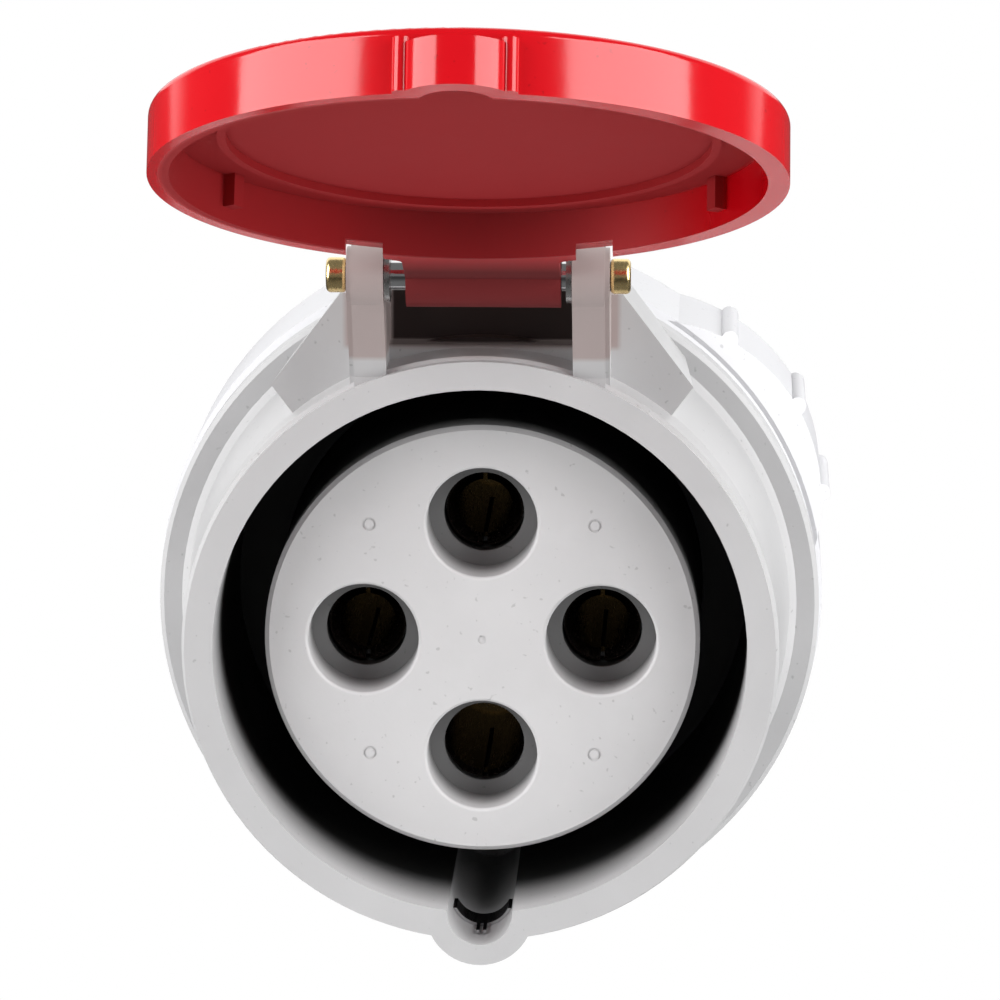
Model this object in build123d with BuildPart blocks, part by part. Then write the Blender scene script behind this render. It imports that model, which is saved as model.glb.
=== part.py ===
from build123d import *
import math
import os

# Industrial cable connector, three phases and earth, with a sprung lid.
# Frame: +X right, +Y back along the connector's axis, +Z up.
# Origin: centre of the socket's mouth, in the plane of the collar's rim.
# All sizes are in millimetres.

# ---------------------------------------------------------------- collar
bore_radius = 29.2          # inside of the collar, round the plug's shroud
collar_wall = 3.1
lip_depth = 1.2             # plain lip at the rim, in front of a small step
collar_step = 0.4
cylinder_end_y = 7.6        # the collar starts to flare here
flare_rise = 1.3            # growth of the collar's radius along the flare
flare_length = 17.9
flange_thickness = 4.0
flange_height = 3.35        # how far the flange stands above the flare
groove_depth = 38.0         # annular groove for the plug's shroud
web_thickness = 4.5         # inner wall that the insert is screwed to

flange_y = cylinder_end_y + flare_length
lip_radius = bore_radius + collar_wall
collar_radius = lip_radius + collar_step
flare_radius = collar_radius + flare_rise
flange_radius = flare_radius + flange_height
flange_back_y = flange_y + flange_thickness
web_back_y = groove_depth + web_thickness

# ---------------------------------------------------------------- keyway
key_slot_radius = 3.6
key_slot_centre = bore_radius + 0.1
key_wall = 2.3
key_bump_radius = key_slot_radius + key_wall
key_clip_y = 7.5
key_clip_length = 4.0
key_clip_thickness = 0.35
key_clip_half_angle = 66.0
key_clip_clearance = 0.05
key_clip_prong = 3.4
key_clip_prong_width = 0.4
key_clip_prong_gap = 0.75

# --------------------------------------------------- spigot and bayonet
spigot_step = 1.8           # how much wider the spigot's inside is than the collar's
spigot_wall = 2.4
spigot_length_behind_web = 5.5
bayonet_count = 3
bayonet_lug_height = 1.3
bayonet_lug_width = 11.0
bayonet_lug_gap = 6.5       # from the flange to the lugs
bayonet_lug_length = 2.5
bayonet_angle = 40.0        # turn between locked and free
bayonet_clearance = 0.3
bayonet_side_room = 1.0     # how much wider the ways in are than the lugs

spigot_inner_radius = bore_radius + spigot_step
spigot_radius = spigot_inner_radius + spigot_wall
spigot_end_y = web_back_y + spigot_length_behind_web
bayonet_lug_y = flange_back_y + bayonet_lug_gap

# ---------------------------------------------------- insert and contacts
shroud_gap = 5.2            # width of the groove between the insert and the collar
insert_face_y = 6.9
insert_edge_round = 0.5
insert_lip_thickness = 2.5  # lip behind the web's opening that keeps the insert in
insert_lip_height = 1.6
pitch_radius = 13.1         # circle through the contact axes
mouth_radius = 6.1
mouth_round = 0.4
mouth_depth = 6.4
throat_room = 0.45          # how much wider the throats are than the earth pin
throat_length = 2.0
phase_angles = [0.0, 90.0, 180.0]
earth_angle = 270.0
phase_pin_radius = 3.0
earth_pin_radius = 4.0
pin_clearance = 0.05
tube_wall = 1.2
tube_front_gap = 0.2        # the tubes start this far behind the throat
tube_countersink = 1.0
tube_end_gap = 1.0          # solid floor between the pin's bore and the wire's
tube_slot_width = 0.5       # the slot that splits a tube in two spring halves
tube_slot_end_gap = 6.0     # from the slot's end to the web's back
clip_room = 0.65            # room round a tube for its clip ring
clip_groove_gap = 4.0       # from the throat to the clip rings
clip_groove_length = 3.0
clip_groove_depth = 0.2
clip_height = 0.35          # how far a clip ring stands out of its tube
clip_fit = 0.05
clip_side_room = 0.2
clip_mouth = 0.6            # gap between a clip ring's ends
terminal_step = 0.35        # how much wider the terminal is than the tube's room
screw_hole_clearance = 0.2
web_opening_clearance = 0.2
insert_lip_clearance = 0.1

insert_radius = bore_radius - shroud_gap
throat_radius = earth_pin_radius + throat_room
insert_back_y = web_back_y + insert_lip_thickness
insert_lip_radius = insert_radius + insert_lip_height
carrier_flange_radius = spigot_inner_radius - 0.4
mouth_floor_y = insert_face_y + mouth_depth
throat_end_y = mouth_floor_y + throat_length
tube_slot_end_y = web_back_y - tube_slot_end_gap
clip_groove_y = throat_end_y + clip_groove_gap

# ------------------------------------------------------- contact carrier
carrier_flange_thickness = 2.5
terminal_length = 17.4
terminal_wall = 2.0
terminal_clearance = 0.1
wire_hole_depth = 12.4
carrier_lip = 1.6           # rear lip that keeps a terminal in the carrier
lip_cover = 1.1             # how far that lip stands over the terminal
carrier_back_y = insert_back_y + terminal_length + carrier_lip

# ----------------------------------------------------------------- screws
terminal_screw_radius = 2.0
terminal_screw_head = 2.7
terminal_screw_head_length = 2.6
terminal_screw_gap = 10.0   # from the insert's back to the screws
terminal_screw_reach = 1.0  # how far the tip stands into the wire hole
insert_screw_radius = 1.4
insert_screw_head = 2.3
insert_screw_head_length = 2.0
insert_screw_wall = 3.6     # from the screws' circle to the spigot's inside
carrier_screw_gap = 0.6     # from the screws' heads to the carrier's barrel
insert_screw_angles = [45.0, 135.0, 225.0, 315.0]
insert_screw_bite = 3.4
slot_width = 0.8

terminal_screw_y = insert_back_y + terminal_screw_gap
insert_screw_circle = spigot_inner_radius - insert_screw_wall
carrier_radius = insert_screw_circle - insert_screw_head - carrier_screw_gap

# ------------------------------------------------------------------ hinge
hinge_y = -1.5
hinge_rise = 9.7            # from the rim's edge up to the hinge axis
pin_radius = 1.55
pin_hole_clearance = 0.05
lug_inner_x = 10.1
lug_thickness = 4.0
lug_head_radius = 3.6
lug_foot_y = 1.0
lug_foot_sink = 1.9         # the lugs start this far below the rim's edge
lug_back_y = 12.0
lug_root = 4.0              # how deep the lugs go into the collar
lug_step_width = 0.5        # the outer strip of each lug stands back a little
lug_step_depth = 0.5
washer_radius = 2.9
washer_thickness = 0.6
cap_radius = 1.9
cap_length = 2.2
cap_bore_radius = 1.1
cap_gap = 0.05

hinge_z = lip_radius + hinge_rise
lug_foot_z = lip_radius - lug_foot_sink
lug_outer_x = lug_inner_x + lug_thickness
pin_hole_radius = pin_radius + pin_hole_clearance

# ----------------------------------------------------- saddle behind lugs
saddle_y = 7.0
saddle_rise = 6.3
saddle_top_x = 15.4
saddle_foot_x = 23.1
saddle_foot_sink = 3.9
saddle_foot_x_step = 3.0    # the saddle's lowest corners, inside the collar
saddle_foot_z_step = 4.0
saddle_draft = 2.5
saddle_round = 1.0
pocket_back_y = 10.0
pocket_floor_rise = 0.7
ledge_y = 8.0               # low curved ledge at the back of the pocket
ledge_rise = 1.3

saddle_top_z = lip_radius + saddle_rise
saddle_foot_z = lip_radius - saddle_foot_sink
pocket_floor_z = lip_radius + pocket_floor_rise
ledge_radius = lip_radius + ledge_rise

# -------------------------------------------------------------------- lid
lid_open_angle = 113.8      # from shut to the position shown
lid_gap = 0.3               # between the shut lid's edge and the rim
lid_play_x = 0.6            # the lid sits this far to the right, within its play on the pin
lid_height = 6.7
lid_wall = 2.2
lid_plate = 1.8
lid_edge_round = 0.9
lid_key_height = 4.9
lid_ridge_radius = 25.4
lid_ridge_width = 0.9
lid_ridge_height = 0.8
lid_rib_angle = 32.0
grip_radius = 0.85
grip_x = 5.2
grip_height = 5.4
neck_half_width = 8.3
neck_corner_round = 1.0
barrel_radius = 3.4
notch_depth = 1.2           # shallow notches in the skirt, in front of the lugs
notch_inset = 0.05          # how much narrower each notch is than its lug, on each side
notch_reach = 16.0          # from the hinge axis to the notch's inner end

# ----------------------------------------------------------------- spring
spring_mean_radius = 2.35
spring_wire_radius = 0.35
spring_pitch = 0.95
spring_whole_turns = 5
spring_leg_slope = 22.0     # the fixed leg falls back onto the saddle at this angle
spring_tail = 5.0           # the moving leg, in a blind hole in the lid's neck
spring_room = 0.1           # clearance round the wire and the coil
spring_window_side = 0.5
window_lip = 0.5            # the window's edge on the lid's inner side, past the hinge axis
spring_rest_gap = 0.03

# ------------------------------------------------------------ lock ring
ring_front_gap = 1.6
ring_wall = 2.6             # round the rear housing's flange
ring_clearance = 0.3
ring_ear_count = 1          # raised grips on the ring
ring_ear_angle = 33.0
ring_ear_radius = 21.0
ring_ear_depth = 18.0       # from the ring's surface in to the ear's own centre
ring_ear_rib_angles = [-16.0, -1.5, 14.0]
ring_ear_rib_radius = 1.0
ring_ear_inset = 0.9        # how far the ears stop short of the ring's ends
ring_lip_thickness = 2.2
ring_edge_round = 2.2
ring_ear_shoulder = 2.6

ring_front_y = flange_back_y + ring_front_gap

# ---------------------------------------------------------- rear housing
rear_flange_height = 2.2
rear_flange_thickness = 3.0
rear_gap = 0.1
rear_step = 0.4             # how much narrower the rear housing is than the spigot
rear_wall = 2.5
taper_start = 6.9           # from the flange to the start of the taper
taper_length = 54.0
neck_length = 7.0
neck_radius = 19.0
gland_length = 14.0
gland_thread_radius = 16.5
seal_ring_section = 0.65
seal_groove_clearance = 0.1
grip_rib_count = 12
grip_rib_width = 3.0
grip_rib_height = 1.2
grip_rib_inset = 2.0        # how far a rib stops short of the taper's ends
grip_rib_sink = 0.3         # how far its ends dip under the taper
grip_rib_ramp = 3.0

rear_front_y = spigot_end_y + rear_gap
rear_radius = spigot_radius - rear_step
rear_flange_radius = rear_radius + rear_flange_height
rear_flange_back_y = rear_front_y + rear_flange_thickness
ring_radius = rear_flange_radius + ring_wall
ring_ear_offset = ring_radius - ring_ear_depth
taper_y = rear_flange_back_y + taper_start
neck_y = taper_y + taper_length
gland_y = neck_y + neck_length
seal_ring_circle = (spigot_radius + spigot_inner_radius) / 2
gland_end_y = gland_y + gland_length

# ------------------------------------------------------------------ gland
cable_radius = 9.0          # the largest cable that the seal takes
collet_radius = 13.4
collet_wall = 1.5
collet_ring_length = 3.0
collet_overhang = 4.0       # how far the fingers stand out of the housing
finger_count = 8
finger_slot = 1.6
gland_fit = 0.2
washer_seat_length = 1.2
nut_wall = 3.4
nut_lip_length = 3.8
nut_rib_count = 18
nut_rib_radius = 1.5
nut_front_gap = 1.5
nut_cone_length = 3.6

os.makedirs("parts", exist_ok=True)


def revolved_about_y(points, mode=Mode.ADD):
    """Turn an outline of (radius, y) points about the connector's axis."""
    with BuildSketch(Plane.XY) as outline:
        with BuildLine():
            Polyline(*points, close=True)
        make_face()
    revolve(outline.sketch, axis=Axis.Y, mode=mode)


def axial_plane(y):
    """A plane across the axis, with local x = +X, local y = +Z and its normal towards -Y."""
    return Plane(origin=(0, y, 0), x_dir=(1, 0, 0), z_dir=(0, -1, 0))


def side_plane(x):
    """A plane across the hinge axis, with local x = +Y, local y = +Z and its normal towards +X."""
    return Plane(origin=(x, 0, 0), x_dir=(0, 1, 0), z_dir=(1, 0, 0))


def hinge_plane(x):
    """The same plane, with its origin on the hinge axis."""
    return Plane(origin=(x, hinge_y, hinge_z), x_dir=(0, 1, 0), z_dir=(1, 0, 0))


def on_circle(radius, angle):
    """The local point at an angle on a circle about the axis."""
    return (radius * math.cos(math.radians(angle)), radius * math.sin(math.radians(angle)))


def save(name, part):
    """Label a finished piece and write it."""
    part.label = name
    export_step(part, f"parts/{name}.step")


# ================================================================ front housing
with BuildPart() as front_housing:
    revolved_about_y([
        (insert_radius + web_opening_clearance, groove_depth),
        (bore_radius, groove_depth),
        (bore_radius, 0),
        (lip_radius, 0),
        (lip_radius, lip_depth),
        (collar_radius, lip_depth + 0.2),
        (collar_radius, cylinder_end_y),
        (flare_radius, flange_y - 1.2),
        (flare_radius + 0.8, flange_y),
        (flange_radius - 0.5, flange_y),
        (flange_radius, flange_y + 0.5),
        (flange_radius, flange_back_y - 0.5),
        (flange_radius - 0.5, flange_back_y),
        (spigot_radius, flange_back_y),
        (spigot_radius, spigot_end_y),
        (spigot_inner_radius, spigot_end_y),
        (spigot_inner_radius, web_back_y),
        (insert_radius + web_opening_clearance, web_back_y),
    ])
    # Keyway bump, from the rim to the flange.
    with BuildSketch(axial_plane(0)):
        with Locations((0, -key_slot_centre)):
            Circle(key_bump_radius)
    extrude(amount=-flange_y)
    # Saddle: the raised block behind the hinge.
    with BuildSketch(axial_plane(saddle_y)):
        with BuildLine():
            Polyline(
                (-saddle_foot_x, saddle_foot_z),
                (-saddle_top_x, saddle_top_z),
                (saddle_top_x, saddle_top_z),
                (saddle_foot_x, saddle_foot_z),
                (saddle_foot_x - saddle_foot_x_step, saddle_foot_z - saddle_foot_z_step),
                (-saddle_foot_x + saddle_foot_x_step, saddle_foot_z - saddle_foot_z_step),
                close=True,
            )
        make_face()
    extrude(amount=-(flange_y + 1.0 - saddle_y), taper=saddle_draft)
    # Pocket between the lugs, where the lid's barrel turns.
    with BuildSketch(axial_plane(lip_depth)):
        with Locations((0, pocket_floor_z + 10.0)):
            Rectangle(2 * lug_inner_x, 20.0)
    extrude(amount=-(pocket_back_y - lip_depth), mode=Mode.SUBTRACT)
    with BuildSketch(axial_plane(ledge_y)):
        Circle(ledge_radius)
        with Locations((0, pocket_floor_z)):
            Rectangle(2 * lug_inner_x, collar_wall, mode=Mode.INTERSECT)
    extrude(amount=-(pocket_back_y - ledge_y))
    # Two lugs that lean forward over the rim and carry the hinge pin.
    # The outer strip of each lug is a little smaller all round.
    for side in (-1, 1):
        for start_x, thickness, inset in (
            (lug_inner_x, lug_thickness - lug_step_width, 0.0),
            (lug_outer_x - lug_step_width, lug_step_width, lug_step_depth),
        ):
            with BuildSketch(side_plane(side * (start_x + thickness / 2))):
                with Locations((hinge_y, hinge_z)):
                    Circle(lug_head_radius - inset)
                with BuildLine():
                    Polyline(
                        (hinge_y - lug_head_radius + inset, hinge_z),
                        (lug_foot_y + inset, lug_foot_z),
                        (lug_foot_y + inset, lug_foot_z - lug_root),
                        (lug_back_y, lug_foot_z - lug_root),
                        (lug_back_y, saddle_top_z - inset),
                        (hinge_y + lug_head_radius - inset, hinge_z),
                        close=True,
                    )
                make_face()
            extrude(amount=thickness / 2, both=True)
    with BuildSketch(side_plane(-lug_outer_x)):
        with Locations((hinge_y, hinge_z)):
            Circle(pin_hole_radius)
    extrude(amount=2 * lug_outer_x, mode=Mode.SUBTRACT)
    # Clear the bore, which the bump, the saddle and the lugs reach into.
    with BuildSketch(axial_plane(-1)):
        Circle(bore_radius)
    extrude(amount=-(groove_depth + 1), mode=Mode.SUBTRACT)
    # Keyway slot.
    with BuildSketch(axial_plane(0)):
        with Locations((0, -key_slot_centre)):
            Circle(key_slot_radius)
        with Locations((0, -key_slot_centre + key_slot_radius)):
            Rectangle(2 * key_slot_radius, 2 * key_slot_radius)
    extrude(amount=-groove_depth, mode=Mode.SUBTRACT)
    # Blind holes for the insert screws, from the web's back.
    with BuildSketch(axial_plane(web_back_y)):
        for angle in insert_screw_angles:
            with Locations(on_circle(insert_screw_circle, angle)):
                Circle(insert_screw_radius)
    extrude(amount=insert_screw_bite, mode=Mode.SUBTRACT)
    # Bayonet lugs on the spigot.
    with BuildSketch(axial_plane(bayonet_lug_y)):
        with PolarLocations(spigot_radius - 0.4, bayonet_count, start_angle=90):
            Rectangle(2 * (bayonet_lug_height + 0.4), bayonet_lug_width)
        Circle(spigot_radius + bayonet_lug_height, mode=Mode.INTERSECT)
        Circle(spigot_radius - 0.4, mode=Mode.SUBTRACT)
    extrude(amount=-bayonet_lug_length)
save("front_housing", front_housing.part)

# ================================================================ keyway clip
with BuildPart() as keyway_clip:
    clip_outer = key_slot_radius - key_clip_clearance
    clip_inner = clip_outer - key_clip_thickness
    with BuildSketch(axial_plane(key_clip_y)):
        with Locations((0, -key_slot_centre)):
            Circle(clip_outer)
            Circle(clip_inner, mode=Mode.SUBTRACT)
        with Locations((0, -key_slot_centre - clip_outer)):
            Rectangle(
                2 * clip_outer * math.sin(math.radians(key_clip_half_angle)),
                2 * clip_outer * (1 - math.cos(math.radians(key_clip_half_angle))),
                mode=Mode.INTERSECT,
            )
    extrude(amount=-key_clip_length)
    # Two small prongs that reach forward from the front edge.
    with BuildSketch(axial_plane(key_clip_y - key_clip_prong)):
        with Locations((0, -key_slot_centre - clip_outer + key_clip_thickness)):
            with GridLocations(key_clip_prong_gap, 0, 2, 1):
                Rectangle(key_clip_prong_width, key_clip_thickness)
    extrude(amount=-(key_clip_prong + key_clip_length / 2))
save("keyway_clip", keyway_clip.part)

# ============================================================== contact insert
with BuildPart() as contact_insert:
    revolved_about_y([
        (0, insert_face_y),
        (insert_radius - insert_edge_round, insert_face_y),
        (insert_radius, insert_face_y + insert_edge_round),
        (insert_radius, web_back_y),
        (insert_lip_radius, web_back_y),
        (insert_lip_radius, insert_back_y),
        (0, insert_back_y),
    ])
    all_angles = phase_angles + [earth_angle]
    with BuildSketch(axial_plane(insert_face_y)):
        for angle in all_angles:
            with Locations(on_circle(pitch_radius, angle)):
                Circle(mouth_radius)
    extrude(amount=-mouth_depth, mode=Mode.SUBTRACT)
    with BuildSketch(axial_plane(mouth_floor_y)):
        for angle in all_angles:
            with Locations(on_circle(pitch_radius, angle)):
                Circle(throat_radius)
    extrude(amount=-throat_length, mode=Mode.SUBTRACT)
    with BuildSketch(axial_plane(throat_end_y)):
        for angle in phase_angles:
            with Locations(on_circle(pitch_radius, angle)):
                Circle(phase_pin_radius + pin_clearance + tube_wall + clip_room)
        with Locations(on_circle(pitch_radius, earth_angle)):
            Circle(earth_pin_radius + pin_clearance + tube_wall + clip_room)
    extrude(amount=-(insert_back_y - throat_end_y), mode=Mode.SUBTRACT)
    # Rounded mouths.
    mouth_edges = (
        contact_insert.part.edges()
        .filter_by(GeomType.CIRCLE)
        .filter_by(lambda edge: abs(edge.radius - mouth_radius) < 1e-3)
        .group_by(Axis.Y)[0]
    )
    fillet(mouth_edges, radius=mouth_round)
    # Ejector rings and the gate mark that moulding leaves on the face.
    with BuildSketch(axial_plane(insert_face_y)):
        with GridLocations(2 * 12.4, 2 * 12.9, 2, 2):
            Circle(0.75)
            Circle(0.5, mode=Mode.SUBTRACT)
        Circle(0.45)
    extrude(amount=-0.12, mode=Mode.SUBTRACT)
save("contact_insert", contact_insert.part)


# ==================================================================== contacts
def terminal_radius(pin_size):
    """Outside radius of the barrel that clamps the wire."""
    return pin_size + pin_clearance + tube_wall + clip_room + terminal_step


def build_contact(angle, pin_size):
    """One sleeve contact: a split tube for the pin, then a terminal barrel for the wire."""
    front_y = throat_end_y + tube_front_gap
    bore = pin_size + pin_clearance
    outer = bore + tube_wall
    barrel = terminal_radius(pin_size)
    x, z = on_circle(pitch_radius, angle)
    with BuildPart() as contact:
        with BuildSketch(axial_plane(front_y)):
            with Locations((x, z)):
                Circle(outer)
        extrude(amount=-(insert_back_y - front_y))
        with BuildSketch(axial_plane(insert_back_y)):
            with Locations((x, z)):
                Circle(barrel)
        extrude(amount=-terminal_length)
        # Bore for the pin, which stops inside the terminal barrel.
        with BuildSketch(axial_plane(front_y)):
            with Locations((x, z)):
                Circle(bore)
        extrude(amount=-(insert_back_y - front_y - tube_end_gap), mode=Mode.SUBTRACT)
        # Wire hole from the back.
        with BuildSketch(axial_plane(insert_back_y + terminal_length)):
            with Locations((x, z)):
                Circle(barrel - terminal_wall)
        extrude(amount=wire_hole_depth, mode=Mode.SUBTRACT)
        # One slot splits the tube in two spring halves.
        with BuildSketch(axial_plane(front_y)):
            with Locations((x, z)):
                Rectangle(tube_slot_width, 2 * outer + 2)
        extrude(amount=-(tube_slot_end_y - front_y), mode=Mode.SUBTRACT)
        # Groove that seats the clip ring.
        with BuildSketch(axial_plane(clip_groove_y)):
            with Locations((x, z)):
                Circle(outer + 1)
                Circle(outer - clip_groove_depth, mode=Mode.SUBTRACT)
        extrude(amount=-clip_groove_length, mode=Mode.SUBTRACT)
        # Threaded hole for the terminal screw, on the side away from the axis.
        screw_plane = Plane(
            origin=(x, terminal_screw_y, z),
            x_dir=(0, 1, 0),
            z_dir=(x, 0, z),
        )
        with BuildSketch(screw_plane):
            Circle(terminal_screw_radius)
        extrude(amount=barrel + 1, mode=Mode.SUBTRACT)
        # Countersunk mouth.
        mouth = (
            contact.part.edges()
            .filter_by(lambda edge: edge.geom_type == GeomType.CIRCLE)
            .filter_by(lambda edge: abs(edge.radius - bore) < 1e-3)
            .group_by(Axis.Y)[0]
        )
        chamfer(mouth, length=tube_countersink)
    return contact.part


for number, angle in enumerate(phase_angles, start=1):
    save(f"socket_contact_l{number}", build_contact(angle, phase_pin_radius))
save("socket_contact_earth", build_contact(earth_angle, earth_pin_radius))

# Spring rings that squeeze the split tubes.
contact_sizes = [(angle, phase_pin_radius) for angle in phase_angles] + [(earth_angle, earth_pin_radius)]
with BuildPart() as contact_clips:
    for angle, pin_size in contact_sizes:
        tube_outer = pin_size + pin_clearance + tube_wall
        with BuildSketch(axial_plane(clip_groove_y + clip_side_room)):
            with Locations(on_circle(pitch_radius, angle)):
                Circle(tube_outer + clip_height)
                Circle(tube_outer - clip_groove_depth + clip_fit, mode=Mode.SUBTRACT)
                with Locations((tube_outer, 0)):
                    Rectangle(2.0, clip_mouth, mode=Mode.SUBTRACT)
        extrude(amount=-(clip_groove_length - 2 * clip_side_room))
save("contact_clips", contact_clips.part)

# ============================================================= contact carrier
with BuildPart() as contact_carrier:
    revolved_about_y([
        (0, insert_back_y),
        (insert_lip_radius + insert_lip_clearance, insert_back_y),
        (insert_lip_radius + insert_lip_clearance, web_back_y),
        (carrier_flange_radius, web_back_y),
        (carrier_flange_radius, insert_back_y + carrier_flange_thickness),
        (carrier_radius, insert_back_y + carrier_flange_thickness),
        (carrier_radius, carrier_back_y - 1.0),
        (carrier_radius - 1.0, carrier_back_y),
        (0, carrier_back_y),
    ])
    for angle, pin_size in contact_sizes:
        barrel_radius_here = terminal_radius(pin_size)
        with BuildSketch(axial_plane(insert_back_y)):
            with Locations(on_circle(pitch_radius, angle)):
                Circle(barrel_radius_here + terminal_clearance)
        extrude(amount=-terminal_length, mode=Mode.SUBTRACT)
        with BuildSketch(axial_plane(carrier_back_y)):
            with Locations(on_circle(pitch_radius, angle)):
                Circle(barrel_radius_here - lip_cover)
        extrude(amount=carrier_lip, mode=Mode.SUBTRACT)
        # Way in for the screwdriver.
        x, z = on_circle(pitch_radius, angle)
        access_plane = Plane(
            origin=(x, terminal_screw_y, z),
            x_dir=(0, 1, 0),
            z_dir=(x, 0, z),
        )
        with BuildSketch(access_plane):
            Circle(terminal_screw_head + 0.3)
        extrude(amount=carrier_radius, mode=Mode.SUBTRACT)
    with BuildSketch(axial_plane(web_back_y)):
        for angle in insert_screw_angles:
            with Locations(on_circle(insert_screw_circle, angle)):
                Circle(insert_screw_radius + screw_hole_clearance)
    extrude(amount=-(insert_lip_thickness + carrier_flange_thickness), mode=Mode.SUBTRACT)
save("contact_carrier", contact_carrier.part)

# ====================================================================== screws
with BuildPart() as terminal_screws:
    for angle, pin_size in contact_sizes:
        barrel_radius_here = terminal_radius(pin_size)
        wire_radius = barrel_radius_here - terminal_wall
        tip = pitch_radius + wire_radius - terminal_screw_reach
        head = pitch_radius + barrel_radius_here + 0.5
        x, z = on_circle(1.0, angle)
        tip_plane = Plane(
            origin=(x * tip, terminal_screw_y, z * tip), x_dir=(0, 1, 0), z_dir=(x, 0, z)
        )
        head_plane = Plane(
            origin=(x * head, terminal_screw_y, z * head), x_dir=(0, 1, 0), z_dir=(x, 0, z)
        )
        top_plane = head_plane.offset(terminal_screw_head_length)
        with BuildSketch(tip_plane):
            Circle(terminal_screw_radius)
        extrude(amount=head - tip)
        with BuildSketch(head_plane):
            Circle(terminal_screw_head)
        extrude(amount=terminal_screw_head_length)
        with BuildSketch(top_plane):
            Rectangle(2 * terminal_screw_head + 1, slot_width)
        extrude(amount=-1.2, mode=Mode.SUBTRACT)
save("terminal_screws", terminal_screws.part)

with BuildPart() as insert_screws:
    screw_head_y = insert_back_y + carrier_flange_thickness
    for angle in insert_screw_angles:
        with BuildSketch(axial_plane(screw_head_y)):
            with Locations(on_circle(insert_screw_circle, angle)):
                Circle(insert_screw_radius)
        extrude(amount=screw_head_y - web_back_y + insert_screw_bite - 0.3)
        with BuildSketch(axial_plane(screw_head_y)):
            with Locations(on_circle(insert_screw_circle, angle)):
                Circle(insert_screw_head)
        extrude(amount=-insert_screw_head_length)
        # Cross recess.
        with BuildSketch(axial_plane(screw_head_y + insert_screw_head_length)):
            with Locations(on_circle(insert_screw_circle, angle)):
                Rectangle(2.8, slot_width)
                Rectangle(slot_width, 2.8)
        extrude(amount=1.1, mode=Mode.SUBTRACT)
save("insert_screws", insert_screws.part)

# ============================================================== coil of the spring
# The coil starts where its fixed leg leaves it, and ends where the moving leg runs up the neck.
leg_slope = math.radians(spring_leg_slope)
spring_turns = spring_whole_turns + (90.0 - lid_open_angle + spring_leg_slope) / 360.0
spring_length = spring_pitch * spring_turns
window_half_length = spring_length / 2 + spring_wire_radius + spring_window_side
coil = Helix(
    pitch=spring_pitch,
    height=spring_length,
    radius=spring_mean_radius,
    center=(-spring_length / 2, hinge_y, hinge_z),
    direction=(1, 0, 0),
).rotate(Axis((0, hinge_y, hinge_z), (1, 0, 0)), -spring_leg_slope)

# ========================================================================= lid
# The lid has its own plane: local y runs from the hinge to the lid's centre, local z is the
# lid's outward normal, and the hinge axis is local x. Shut, that normal is -Y and local y is -Z.
tilt = math.radians(lid_open_angle)
lid_normal = (0, -math.cos(tilt), math.sin(tilt))
lid_plane = Plane(origin=(lid_play_x, hinge_y, hinge_z), x_dir=(-1, 0, 0), z_dir=lid_normal)
lid_edge = hinge_y + lid_gap            # local height of the lid's open edge
lid_top = lid_edge + lid_height
lid_centre = hinge_z
lid_inner_radius = lip_radius - lid_wall
lid_key_centre = lid_centre + key_slot_centre
neck_start = lid_centre - lip_radius + lid_wall

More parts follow.
